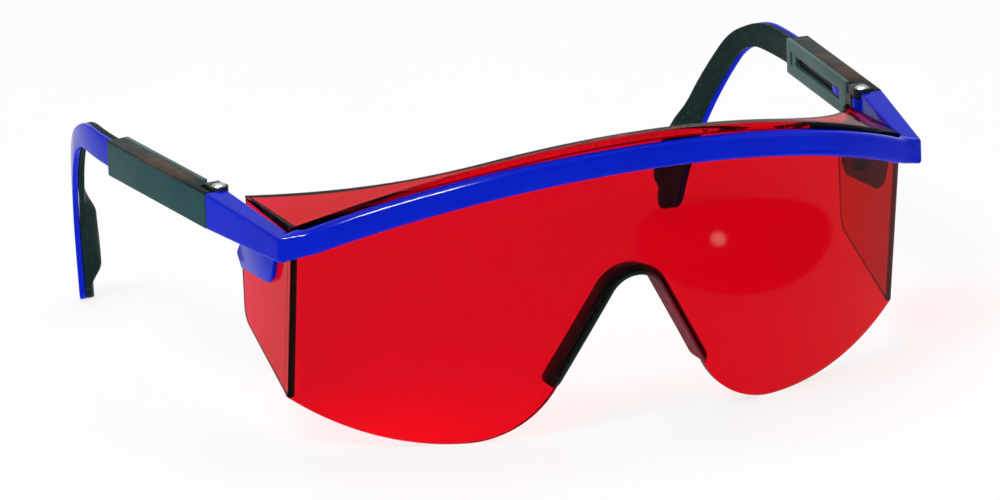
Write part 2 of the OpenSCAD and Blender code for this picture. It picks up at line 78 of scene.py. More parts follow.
@dataclass(frozen=True)
class FrontForm:
    """The leaning front surface and the arch that the lens, the saddle and the bar share."""

    half_w: float = 68.0
    front_r: float = 123.5
    lean: float = math.radians(10.5)
    corner_z: float = 49.5
    arch_r: float = 153.0
    thick: float = 1.8
    shield_depth: float = 30.5

    def origin(self) -> Matrix:
        """The matrix from millimetres, with Y at 0 on the lens's corners, to row-frame metres."""
        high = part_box("lens")[1]
        return Matrix.Translation((0, high.y - self.shield_depth * MM, 0)) @ Matrix.Scale(MM, 4)

    def front_y(self, x: float, z: float, depth: float = 0.0) -> float:
        """Where the front surface lies.

        Args:
            x: Distance from the middle.
            z: Height above the table.
            depth: How far behind the outer surface.

        Returns:
            The Y value of the surface.
        """
        centre = math.sqrt(self.front_r ** 2 - self.half_w ** 2)
        in_plan = centre - math.sqrt((self.front_r - depth) ** 2 - x * x)
        up = (z - self.corner_z - in_plan * math.sin(self.lean)) / math.cos(self.lean)
        return in_plan * math.cos(self.lean) - up * math.sin(self.lean)

    def arch_z(self, x: float, depth: float = 0.0) -> float:
        """Height of the brow guard's arch at an X, some depth below its outer surface."""
        centre = self.corner_z - math.sqrt(self.arch_r ** 2 - self.half_w ** 2)
        return centre + math.sqrt((self.arch_r - depth) ** 2 - x * x)


@dataclass(frozen=True)
class NoseForm:
    """The edge of the nose opening: a round crown, straight legs and the two lobes."""

    lobe_x: float = 34.5
    lobe_out_r: float = 55.0
    lobe_in_r: float = 20.4
    crown_z: float = 34.0
    crown_r: float = 6.0
    end_z: float = 10.6

    def tangent(self) -> float:
        """Where the legs leave the crown.

        Returns:
            The angle of that place round the crown, in radians.
        """
        low = self.crown_z - self.crown_r
        run = math.hypot(self.lobe_x, low - self.lobe_in_r)
        return (math.atan2(self.lobe_in_r - low, self.lobe_x)
                + math.acos((self.crown_r + self.lobe_in_r) / run))

    def edge(self, share: float, bite: float) -> Pair:
        """A point on the right half of the edge.

        Args:
            share: From 0 at the crown's top to 1 where the leg meets the lobe.
            bite: How far the edge is moved into the lens.

        Returns:
            Its X and Z.
        """
        turn = self.tangent()
        low, reach = self.crown_z - self.crown_r, self.crown_r + bite
        arc = math.pi / 2 - turn
        leg = math.hypot(self.lobe_x, low - self.lobe_in_r)
        leg = math.sqrt(leg ** 2 - (self.crown_r + self.lobe_in_r) ** 2)
        whole = arc * self.crown_r + leg
        run = share * whole
        if run < arc * self.crown_r:
            at = math.pi / 2 - run / self.crown_r
            return reach * math.cos(at), low + reach * math.sin(at)
        down = run - arc * self.crown_r
        return (reach * math.cos(turn) + down * math.sin(turn),
                low + reach * math.sin(turn) - down * math.cos(turn))


@dataclass(frozen=True)
class HingeForm:
    """The right hinge's axis and the temple's own frame on it."""

    axis: Pair = (72.7, 29.2)
    splay: float = math.radians(-5.3)
    arm_end: float = -1.8
    sleeve: Pair = (-1.0, 4.0)
    eye_room: float = 2.45

    def matrix(self) -> Matrix:
        """The temple's frame in the part's millimetres."""
        return Matrix.Translation((*self.axis, 0)) @ Matrix.Rotation(self.splay, 4, "Z")

    def point(self, x: float, y: float) -> Vector:
        """A place of the temple's frame, at height 0."""
        return self.matrix() @ Vector((x, y, 0))


FORM = FrontForm()
NOSE = NoseForm()
HINGE = HingeForm()
LENS_NOTCH_Z = 40.9
RING_POINTS = 56
DRUM_FACES = 40


def flat(spot: Vector) -> Vector:
    """A place seen in plan."""
    return Vector((spot.x, spot.y, 0))


# Making meshes


def blend(low: float, high: float, share: float) -> float:
    """The value a share of the way from one to another."""
    return low + (high - low) * share


def ease(share: float) -> float:
    """A share that starts and ends gently."""
    share = min(max(share, 0.0), 1.0)
    return share * share * (3 - 2 * share)


def shares(steps: int) -> list[float]:
    """Even shares of a way, from just past its start to its end."""
    return [(step + 1) / steps for step in range(steps)]


def spread(stops: Iterable[tuple[float, int]], start: float = 0.0) -> list[float]:
    """Values with an even pitch between each pair of stops.

    Args:
        stops: Each stop with the number of steps up to it.
        start: The first value.

    Returns:
        The values in order.
    """
    values = [start]
    for stop, steps in stops:
        first = values[-1]
        values += [blend(first, stop, share) for share in shares(steps)]
    return values


def drape(bm: BMesh, columns: list[list[Vector]]) -> None:
    """Lays a grid over columns of places.

    Args:
        bm: The mesh that the grid is added to.
        columns: The places, column by column, each as long as the first.
    """
    across, up = len(columns), len(columns[0])
    made = bmesh.ops.create_grid(bm, x_segments=across - 1, y_segments=up - 1, size=1)["verts"]
    made.sort(key=lambda v: (round(v.co.x, 5), round(v.co.y, 5)))
    for i, column in enumerate(columns):
        for vert, spot in zip(made[i * up:(i + 1) * up], column):
            vert.co = spot


def loft(bm: BMesh, rings: list[list[Vector]]) -> None:
    """Draws a closed moulding through its cross-sections.

    Args:
        bm: The mesh that it is added to.
        rings: The points round each cross-section.
    """
    piece = bmesh.new()
    drape(piece, [ring + ring[:1] for ring in rings])
    bmesh.ops.remove_doubles(piece, verts=piece.verts, dist=1e-4)
    bmesh.ops.holes_fill(piece, edges=[e for e in piece.edges if e.is_boundary])
    bmesh.ops.recalc_face_normals(piece, faces=piece.faces)
    join(bm, piece)


def settled(name: str, bm: BMesh) -> bpy.types.Mesh:
    """Turns a finished mesh into data.

    Args:
        name: Name of the data.
        bm: The mesh; it is freed.

    Returns:
        The data.
    """
    mesh = bpy.data.meshes.new(name)
    bm.to_mesh(mesh)
    bm.free()
    return mesh


def placed(name: str, data: bpy.types.ID) -> bpy.types.Object:
    """Puts data into the scene.

    Args:
        name: Name of the new object.
        data: Its mesh, lamp or camera.

    Returns:
        The object.
    """
    made = bpy.data.objects.new(name, data)
    bpy.context.scene.collection.objects.link(made)
    return made


def join(bm: BMesh, piece: BMesh) -> None:
    """Adds a finished mesh to another.

    Args:
        bm: The mesh that grows.
        piece: The mesh that is added; it is freed.
    """
    mesh = settled("part", piece)
    bm.from_mesh(mesh)
    bpy.data.meshes.remove(mesh)


def round_section(width: float, height: float, rounding: float) -> list[Pair]:
    """Points round a rectangle with round corners.

    Args:
        width: Its size across.
        height: Its size up.
        rounding: Radius of the corners.

    Returns:
        The points, across and up from the middle.
    """
    points = []
    for corner, (sx, sy) in enumerate(((1, 1), (-1, 1), (-1, -1), (1, -1))):
        for share in (0, *shares(4)):
            turn = math.radians(90 * (corner + share))
            points.append((sx * (width / 2 - rounding) + rounding * math.cos(turn),
                           sy * (height / 2 - rounding) + rounding * math.sin(turn)))
    return points


def full_section(width: float, height: float, fullness: float) -> list[Pair]:
    """Points round a section whose sides swell gently and whose corners are soft.

    Args:
        width: Its size across.
        height: Its size up.
        fullness: 2 for an ellipse, more for flatter sides and tighter corners.

    Returns:
        The points, across and up from the middle.
    """
    points = []
    for index in range(RING_POINTS):
        turn = 2 * math.pi * (index + 0.5) / RING_POINTS
        across, up = (math.copysign(abs(part) ** (2 / fullness), part)
                      for part in (math.cos(turn), math.sin(turn)))
        points.append((across * width / 2, up * height / 2))
    return points


def slab(bm: BMesh, outline: list[Pair], low: float, high: float,
         rounding: float) -> None:
    """A flat outline, drawn as (Y, Z), given a thickness along X.

    Args:
        bm: The mesh that it is added to.
        outline: Corners in order.
        low: X of its inner face.
        high: X of its outer face.
        rounding: Rounding of its edges.
    """
    piece = bmesh.new()
    for y, z in outline:
        piece.verts.new((low, y, z))
    bmesh.ops.contextual_create(piece, geom=piece.verts[:])
    bmesh.ops.translate(piece, verts=extruded(piece), vec=(high - low, 0, 0))
    bmesh.ops.recalc_face_normals(piece, faces=piece.faces)
    soften(piece, sharp_edges(piece), rounding)
    join(bm, piece)


def block(bm: BMesh, y: Pair, z: Pair,
          x: Pair, rounding: float) -> None:
    """Adds a block between two values on each axis, with rounded edges."""
    slab(bm, [(y[0], z[0]), (y[1], z[0]), (y[1], z[1]), (y[0], z[1])], *x, rounding)


def extruded(bm: BMesh) -> list[bmesh.types.BMVert]:
    """Extrudes every face of a mesh on the spot, and gives the corners of the new faces."""
    grown = bmesh.ops.extrude_face_region(bm, geom=bm.faces[:], use_keep_orig=True)["geom"]
    return [v for v in grown if isinstance(v, bmesh.types.BMVert)]


def drum(bm: BMesh, radius: float, height: float, matrix: Matrix,
         rounding: float = 0.0) -> None:
    """A round bar on its own axis, which is Z before the matrix is used.

    Args:
        bm: The mesh that it is added to.
        radius: Its radius.
        height: Its length.
        matrix: Where its middle goes.
        rounding: Rounding of its end edges.
    """
    piece = bmesh.new()
    bmesh.ops.create_cone(piece, cap_ends=True, segments=DRUM_FACES, radius1=radius,
                          radius2=radius, depth=height)
    if rounding:
        soften(piece, sharp_edges(piece, 60), rounding)
    bmesh.ops.transform(piece, matrix=matrix, verts=piece.verts)
    join(bm, piece)


def sharp_edges(bm: BMesh, degrees: float = 30.0) -> list[bmesh.types.BMEdge]:
    """Edges where two faces meet at more than an angle."""
    return [e for e in bm.edges
            if len(e.link_faces) == 2 and e.calc_face_angle(0) > math.radians(degrees)]


def soften(bm: BMesh, edges: list[bmesh.types.BMEdge], radius: float,
           segments: int = 3) -> None:
    """Rounds edges by a radius in the mesh's own unit, with some faces across the rounding."""
    bmesh.ops.bevel(bm, geom=edges, offset=radius, offset_type="OFFSET", affect="EDGES",
                    segments=segments, profile=0.5, material=-1, clamp_overlap=True)


def finish_piece(bm: BMesh, name: str, body: str, material: Material,
                 nodes: tuple[str, ...] = (), matrix: Matrix | None = None,
                 side: Side = Side.RIGHT, crisp: float = 35.0) -> bpy.types.Object:
    """Makes a piece of a finished mesh and puts it under its body's empty.

    Args:
        bm: The mesh; it is freed.
        name: Name of the piece.
        body: The CAD body that it rides on.
        material: Its finish.
        nodes: The CAD nodes that it stands for.
        matrix: Where the right-hand piece goes; left out for a mesh in row-frame metres.
        side: The side that it is for.
        crisp: Edges that turn by more than this many degrees stay crisp.

    Returns:
        The new object.
    """
    if matrix is not None:
        bmesh.ops.transform(bm, matrix=side.mirror() @ matrix, verts=bm.verts)
    bmesh.ops.recalc_face_normals(bm, faces=bm.faces)
    mesh = settled(name, bm)
    mesh.shade_smooth()
    mesh.set_sharp_from_angle(angle=math.radians(crisp))
    mesh.materials.append(material)
    piece = placed(name, mesh)
    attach(piece, body)
    if nodes:
        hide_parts(*nodes)
    log.info("%s: %d faces", name, len(mesh.polygons))
    return piece


def copy_of(node: str, radius: float) -> BMesh:
    """A copy of a CAD node with softened edges, in row-frame metres.

    Args:
        node: The CAD node.
        radius: Rounding of the edges, in millimetres.

    Returns:
        The new mesh.
    """
    bm = bmesh.new()
    bm.from_mesh(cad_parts[node].data)
    bmesh.ops.remove_doubles(bm, verts=bm.verts, dist=2e-6)
    bmesh.ops.dissolve_limit(bm, angle_limit=math.radians(2), verts=bm.verts, edges=bm.edges)
    bmesh.ops.recalc_face_normals(bm, faces=bm.faces)
    soften(bm, sharp_edges(bm, 40), radius * MM)
    return bm


# Finishes

Colour = tuple[float, float, float]
Socket = bpy.types.NodeSocket
WHITE: Colour = (1.0, 1.0, 1.0)


class Wiring:
    """A node tree in the making."""

    def __init__(self, tree: bpy.types.NodeTree) -> None:
        """Takes a tree and clears it."""
        self.tree = tree
        tree.nodes.clear()

    def add(self, kind: str, values: dict[str | int, object],
            **settings: object) -> bpy.types.Node:
        """Adds a node.

        Args:
            kind: Its type.
            values: What its inputs are fed, by their names or numbers.
            **settings: Its own settings.

        Returns:
            The node.
        """
        made = self.tree.nodes.new(kind)
        for key, value in settings.items():
            setattr(made, key, value)
        self.feed(made, values)
        return made

    def feed(self, node: bpy.types.Node, values: dict[str | int, object]) -> None:
        """Sets or links inputs of a node.

        Args:
            node: The node.
            values: A number, a colour, three sizes or a socket, by the input's name or number.
        """
        for key, value in values.items():
            target = node.inputs[key]
            if isinstance(value, Socket):
                self.tree.links.new(value, target)
            else:
                target.default_value = (*value, 1) if target.type == "RGBA" else value

    def between(self, value: Socket, low: float, high: float, into: Pair = (0, 1)) -> Socket:
        """Turns the range of a value from low to high into another, within its ends."""
        return self.add("ShaderNodeMapRange", {
            "Value": value, "From Min": low, "From Max": high, "To Min": into[0],
            "To Max": into[1]}).outputs[0]

    def maths(self, operation: str, *values: Socket) -> Socket:
        """Joins values.

        Args:
            operation: One of Blender's operations.
            *values: The values, each joined to what the ones before it gave.

        Returns:
            What they give, within 0 and 1.
        """
        whole, *others = values
        for value in others:
            whole = self.add("ShaderNodeMath", {0: whole, 1: value}, operation=operation,
                             use_clamp=True).outputs[0]
        return whole

    def mixed(self, share: Socket, first: Colour | Socket, second: Colour | Socket) -> Socket:
        """Mixes two colours, from the first at a share of 0 to the second at 1."""
        return self.add("ShaderNodeMix", {0: share, 6: first, 7: second},
                        data_type="RGBA").outputs[2]

    def plain_sight(self) -> Socket:
        """What is 1 for the camera's rays and for those that glass or a gloss sends on."""
        rays = self.add("ShaderNodeLightPath", {}).outputs
        return self.maths("MAXIMUM", rays["Is Camera Ray"], rays["Is Transmission Ray"],
                          rays["Is Glossy Ray"])


class Recipe(Wiring):
    """A material in the making, on object coordinates."""

    def __init__(self, name: str) -> None:
        """Starts a material with a plain surface.

        Args:
            name: The material's name.
        """
        self.material = bpy.data.materials.new(name)
        self.material.use_nodes = True
        super().__init__(self.material.node_tree)
        self.place = self.add("ShaderNodeTexCoord", {}).outputs["Object"]
        self.surface = self.add("ShaderNodeBsdfPrincipled", {})
        self.output = self.add("ShaderNodeOutputMaterial", {"Surface": self.surface.outputs[0]})

    def noise(self, scale: float, detail: float = 4.0,
              stretch: tuple[float, float, float] = (1, 1, 1)) -> Socket:
        """Noise of a scale per metre, with its octaves and the stretch of each axis."""
        place = self.add("ShaderNodeMapping", {"Vector": self.place, "Scale": stretch})
        return self.add("ShaderNodeTexNoise", {"Vector": place.outputs[0], "Scale": scale,
                                               "Detail": detail, "Roughness": 0.55}).outputs[0]

    def axis(self, name: str) -> Socket:
        """One of the object coordinates, by its letter."""
        return self.add("ShaderNodeSeparateXYZ", {"Vector": self.place}).outputs[name]

    def relief(self, height: Socket, depth: float) -> None:
        """Gives the surface a fine relief, of a depth in metres."""
        bump = self.add("ShaderNodeBump", {"Height": height, "Distance": depth, "Strength": 1.0})
        self.feed(self.surface, {"Normal": bump.outputs[0]})


@dataclass(frozen=True)
class Moulded:
    """Moulded plastic with a cloudy tone, a worn gloss and a slight grain.

    Attributes:
        name: The material's name.
        colour: Colour of most of it.
        lighter: Colour of its clouds.
        rough: Roughness of its smooth and of its worn places.
        gloss: Its specular level.
        cloud: Scale of the clouds, and the noise at which they start.
        wear: Scale and octaves of the wear, and the noise at which it is full.
        grain: Scale, octaves and depth of the grain.
    """

    name: str
    colour: Colour
    lighter: Colour
    rough: Pair
    gloss: float = 0.02
    cloud: Pair = (60.0, 0.35)
    wear: tuple[float, float, float] = (420.0, 6.0, 0.75)
    grain: tuple[float, float, float] = (2500.0, 3.0, 0.000004)

    def tone(self, mix: Recipe) -> Socket:
        """Its colour, with clouds of the lighter one."""
        scale, low = self.cloud
        return mix.mixed(mix.between(mix.noise(scale), low, 0.7), self.colour, self.lighter)

    def make(self) -> Material:
        """Builds the material.

        Returns:
            The material.
        """
        mix = Recipe(self.name)
        scale, detail, full = self.wear
        mix.feed(mix.surface, {
            "Base Color": self.tone(mix), "Specular IOR Level": self.gloss,
            "Roughness": mix.between(mix.noise(scale, detail), 0.3, full, self.rough)})
        scale, detail, depth = self.grain
        mix.relief(mix.noise(scale, detail), depth)
        return mix.material


@dataclass(frozen=True)
class SleevePlastic(Moulded):
    """Satin plastic with painted shade on its top face, and a painted brownish reflection on a
    stretch of the top in front.
    """

    # The dark colour is painted shade on the top face; the brown one is a painted reflection.
    dark: Colour = (0.008, 0.016, 0.015)
    painted_brown_reflection: Colour = (0.075, 0.045, 0.028)
    top_z: float = 0.0505
    edge: float = 0.0003
    painted_reflection_y: Pair = (-0.012, 0.004)
    fade: float = 0.006
    patchy: Pair = (0.15, 0.8)

    def tone(self, mix: Recipe) -> Socket:
        """Its colour: cloudy sides, and the painted shade on the top with its painted brownish
        reflection.

        Args:
            mix: The material in the making.

        Returns:
            The colour.
        """
        # Painted shade: the top face turns dark, and a patchy stretch of it takes a painted
        # brownish reflection.
        top = mix.between(mix.axis("Z"), self.top_z, self.top_z + self.edge)
        front, rear = self.painted_reflection_y
        painted_reflection = mix.maths("MULTIPLY", mix.between(mix.axis("Y"), front - self.fade, front),
                          mix.between(mix.axis("Y"), rear, rear + self.fade, (1, 0)), top,
                          mix.between(mix.noise(260.0, 5.0), 0.35, 0.6, self.patchy))
        return mix.mixed(painted_reflection, mix.mixed(top, super().tone(mix), self.dark), self.painted_brown_reflection)


@dataclass(frozen=True)
class Rubber(Moulded):
    """Soft moulding compound with a matt skin, with pale specks, and with painted red light on one
    half.
    """

    cloud: Pair = (110.0, 0.3)
    wear: tuple[float, float, float] = (380.0, 5.0, 0.7)
    grain: tuple[float, float, float] = (2600.0, 4.0, 0.00001)
    specks: float = 0.0
    speck_tone: Colour = (0.55, 0.58, 0.56)
    painted_red_light: Colour | None = None
    painted_red_light_x: Pair = (0.001, 0.008)

    def tone(self, mix: Recipe) -> Socket:
        """Its colour, with the pale specks and the painted red light on one half.

        Args:
            mix: The material in the making.

        Returns:
            The colour.
        """
        # Small pale specks, scattered over the skin.
        spots = mix.add("ShaderNodeTexVoronoi", {"Vector": mix.place, "Scale": 900.0})
        speckled = mix.between(spots.outputs["Distance"], 0.10, 0.16, (self.specks, 0))
        tone = mix.mixed(speckled, super().tone(mix), self.speck_tone)
        # Painted red light: the saddle's right half is tinted red, standing in for red light that
        # the lens throws on it.
        if self.painted_red_light:
            tone = mix.mixed(mix.between(mix.axis("X"), *self.painted_red_light_x), tone, self.painted_red_light)
        return tone


@dataclass(frozen=True)
class FilterRed:
    """Clear red filter plastic with a calm coat, whose wall takes up all but red light."""

    name: str = "filter_red"
    clear: Colour = (1.0, 0.93, 0.94)
    coat: Colour = (1.0, 0.964, 0.97)
    passes: Colour = (0.937, 0.0, 0.33)
    density: float = 3600.0
    bend: float = 1.49
    glare: float = 0.26
    calm: float = 0.65
    rough: Pair = (0.012, 0.05)

    def make(self) -> Material:
        """Builds the material.

        Returns:
            The material.
        """
        mix = Recipe(self.name)
        smear = mix.between(mix.noise(140.0, 5.0, (1, 1, 0.35)), 0.45, 0.75, self.rough)
        mix.feed(mix.surface, {
            "Base Color": self.clear, "Transmission Weight": 1.0, "IOR": self.bend,
            "Specular Tint": (self.glare,) * 3, "Roughness": smear})
        mix.relief(mix.noise(24.0, 2.0), 0.00002)
        coat = mix.add("ShaderNodeBsdfRefraction", {"Color": self.coat, "IOR": self.bend,
                                                    "Roughness": smear})
        coated = mix.add("ShaderNodeMixShader", {0: self.calm, 1: mix.surface.outputs[0],
                                                 2: coat.outputs[0]})
        wall = mix.add("ShaderNodeVolumeAbsorption", {"Color": self.passes,
                                                      "Density": self.density})
        mix.feed(mix.output, {"Surface": coated.outputs[0], "Volume": wall.outputs[0]})
        return mix.material


@dataclass(frozen=True)
class PinSteel:
    """Turned steel with fine marks."""

    name: str = "pin_steel"
    dark: Colour = (0.20, 0.21, 0.22)
    bright: Colour = (0.46, 0.47, 0.48)
    rough: Pair = (0.16, 0.34)

    def make(self) -> Material:
        """Builds the material.

        Returns:
            The material.
        """
        mix = Recipe(self.name)
        marks = mix.noise(900.0, 5.0, (1, 1, 6))
        mix.feed(mix.surface, {
            "Metallic": 1.0, "Base Color": mix.mixed(marks, self.dark, self.bright),
            "Roughness": mix.between(marks, 0.3, 0.7, self.rough)})
        mix.relief(marks, 0.000006)
        return mix.material


def made_of(recipe: Moulded | FilterRed | PinSteel) -> Field:
    """A field that holds a finish, which is made with its owner."""
    return field(default_factory=recipe.make)


@dataclass
class Finishes:
    """Every finish of the object, made once."""

    blue: Material = made_of(Moulded(
        "bar_blue", (0.0, 0.010, 0.50), (0.0, 0.014, 0.58), (0.10, 0.16), 0.04))
    red: Material = made_of(FilterRed())
    slate: Material = made_of(SleevePlastic(
        "temple_black", (0.018, 0.061, 0.067), (0.024, 0.077, 0.083), (0.30, 0.44),
        cloud=(90.0, 0.3), wear=(500.0, 6.0, 0.75), grain=(3200.0, 3.0, 0.000007)))
    cover: Material = made_of(Moulded(
        "cover_grey", (0.052, 0.112, 0.112), (0.068, 0.138, 0.136), (0.30, 0.38), 0.03))
    black: Material = made_of(Moulded(
        "channel_dark", (0.008, 0.010, 0.009), (0.015, 0.018, 0.013), (0.32, 0.40), 0.05))
    soft: Material = made_of(Rubber(
        "soft_black", (0.005, 0.017, 0.017), (0.008, 0.024, 0.023), (0.36, 0.56), specks=0.12))
    nose: Material = made_of(Rubber(
        "nose_dark", (0.006, 0.015, 0.016), (0.011, 0.022, 0.024), (0.30, 0.50),
        # Painted red light on the right half of the saddle.
        painted_red_light=(0.160, 0.008, 0.018)))
    steel: Material = made_of(PinSteel())


# Sub-assemblies


@dataclass
class Assembly:
    """What every sub-assembly needs."""

    finishes: Finishes


@dataclass
class Lens(Assembly):
    """The red moulding: front panel, side shields and brow guard in one."""

    bite: float = 1.1
    bite_fade: float = 4.0
    guard_depth: float = 26.5
    ledge: float = 2.4
    ledge_x: float = 30.0
    guard_power: float = 2.4
    shield_rear_z: float = 22.0
    shield_round: float = 4.0
    hem_y: float = 7.365
    clear_z: float = LENS_NOTCH_Z
    notch: float = 4.0
    rim_round: float = 0.3
    rear_wall: float = 0.95
    near: float = 1e-3
    low_rows: int = 26
    high_rows: int = 12
    depth_steps: tuple = ((0.06, 3), (0.94, 26), (1.0, 3))
    nose_steps: tuple = ((0.28, 10), (0.9, 22), (1.0, 6))
    inner_steps: tuple = ((math.pi / 2, 24),)
    outer_steps: tuple = ((67.4, 28), (FORM.half_w, 2))
    notch_steps: tuple = ((math.pi / 2, 12),)

    def edge_points(self) -> list[Pair]:
        """The front panel's lower edge.

        Returns:
            Its X and Z, from the middle to the right corner.
        """
        points = []
        for share in spread(self.nose_steps):
            z = NOSE.edge(share, 0)[1]
            points.append(NOSE.edge(share, self.bite * ease((z - NOSE.end_z) / self.bite_fade)))
        for at in spread(self.inner_steps, NOSE.tangent())[1:]:
            points.append((NOSE.lobe_x - NOSE.lobe_in_r * math.cos(at),
                           NOSE.lobe_in_r * (1 - math.sin(at))))
        for x in spread(self.outer_steps, NOSE.lobe_x)[1:]:
            points.append((x, NOSE.lobe_out_r
                           - math.sqrt(NOSE.lobe_out_r ** 2 - (x - NOSE.lobe_x) ** 2)))
        return points

    def heights(self, low: float, split: float, high: float) -> list[float]:
        """Row heights of one column."""
        return spread([(split, self.low_rows), (high, self.high_rows)], low)

    def build(self) -> None:
        """Builds the whole lens."""
        right = self.edge_points()
        low_edge = [(-x, z) for x, z in reversed(right[1:])] + right
        share = (self.clear_z - right[-1][1]) / (FORM.corner_z - right[-1][1])
        bm = bmesh.new()
        panel = []
        for x, low in low_edge:
            high = FORM.arch_z(x)
            panel.append([Vector((x, FORM.front_y(x, z), z))
                          for z in self.heights(low, blend(low, high, share), high)])
        drape(bm, panel)
        drape(bm, self.guard([x for x, _ in low_edge]))
        for sign in (-1, 1):
            self.shield(bm, sign, right[-1][1])
        bmesh.ops.remove_doubles(bm, verts=bm.verts, dist=2e-4)
        self.give_wall(bm)
        soften(bm, sharp_edges(bm, 28), self.rim_round)
        finish_piece(bm, "filter_lens", "frame", self.finishes.red, ("lens",),
                     FORM.origin(), crisp=60)

    def guard(self, xs: list[float]) -> list[list[Vector]]:
        """Places on the brow guard: a narrow ledge that widens towards its sides.

        Args:
            xs: The columns' distances from the middle.

        Returns:
            Its columns from front to rear.
        """
        columns = []
        for x in xs:
            z = FORM.arch_z(x)
            front = FORM.front_y(x, z)
            out = max(abs(x) - self.ledge_x, 0) / (FORM.half_w - self.ledge_x)
            deep = self.ledge + (self.guard_depth - self.ledge) * out ** self.guard_power
            columns.append([Vector((x, front + deep * s, z)) for s in spread(self.depth_steps)])
        return columns

    def shield(self, bm: BMesh, sign: int, low: float) -> None:
        """Draws the outer face of one side shield, with its notch under the hinge.

        Args:
            bm: The mesh that it is added to.
            sign: 1 for the right side, -1 for the left.
            low: Height of the front panel's lower corner.
        """
        x = sign * FORM.half_w
        hem = math.atan2(self.shield_rear_z - low, FORM.shield_depth - self.hem_y)
        centre = (FORM.shield_depth - self.shield_round,
                  self.shield_rear_z + self.shield_round * (1 / math.cos(hem) - math.tan(hem)))
        corner_rows = self.heights(low, self.clear_z, FORM.corner_z)
        front = [FORM.front_y(FORM.half_w, z) for z in corner_rows]

        def hem_z(y: float) -> float:
            """Height of the hem at a depth."""
            if y > centre[0] + self.shield_round * math.sin(hem):
                return centre[1] - math.sqrt(max(self.shield_round ** 2 - (y - centre[0]) ** 2, 0))
            return low + max(y - self.hem_y, 0) * math.tan(hem)

        main = []
        for share in spread(self.depth_steps):
            y_low = blend(front[0], self.guard_depth, share)
            rows = self.heights(hem_z(y_low), self.clear_z, FORM.corner_z)
            main.append([Vector((x, blend(f, self.guard_depth, share), z))
                         for f, z in zip(front, rows)])
        drape(bm, main)
        rear = []
        for turn in spread(self.notch_steps):
            y = self.guard_depth + self.notch * math.sin(turn)
            top = self.clear_z - (y - self.guard_depth)
            rear.append([Vector((x, y, z)) for z in spread([(top, self.low_rows)], hem_z(y))])
        drape(bm, rear)

    def give_wall(self, bm: BMesh) -> None:
        """Adds the inner faces, one wall's thickness inside.

        Args:
            bm: The outer skin.
        """
        for vert in extruded(bm):
            x, y, z = vert.co
            on_side = abs(x) > FORM.half_w - self.near
            on_roof = abs(z - FORM.arch_z(x)) < self.near
            behind = y - FORM.front_y(x, z)
            on_front = abs(behind) < self.near
            wall = blend(FORM.thick, self.rear_wall, min(max(behind / self.guard_depth, 0), 1))
            if on_side:
                x = math.copysign(FORM.half_w - wall, x)
            if on_roof:
                z = FORM.arch_z(x, wall)
            if on_front:
                y = FORM.front_y(x, z, FORM.thick)
            vert.co = (x, y, z)
        bmesh.ops.recalc_face_normals(bm, faces=bm.faces)


@dataclass(frozen=True)
class Station:
    """One cross-section of the brow moulding."""

    centre: Vector
    wide: Vector
    tall: Vector
    width: float
    height: float
    fullness: float

    def ring(self) -> list[Vector]:
        """Points round the section."""
        return [self.centre + self.wide * across + self.tall * up
                for across, up in full_section(self.width, self.height, self.fullness)]


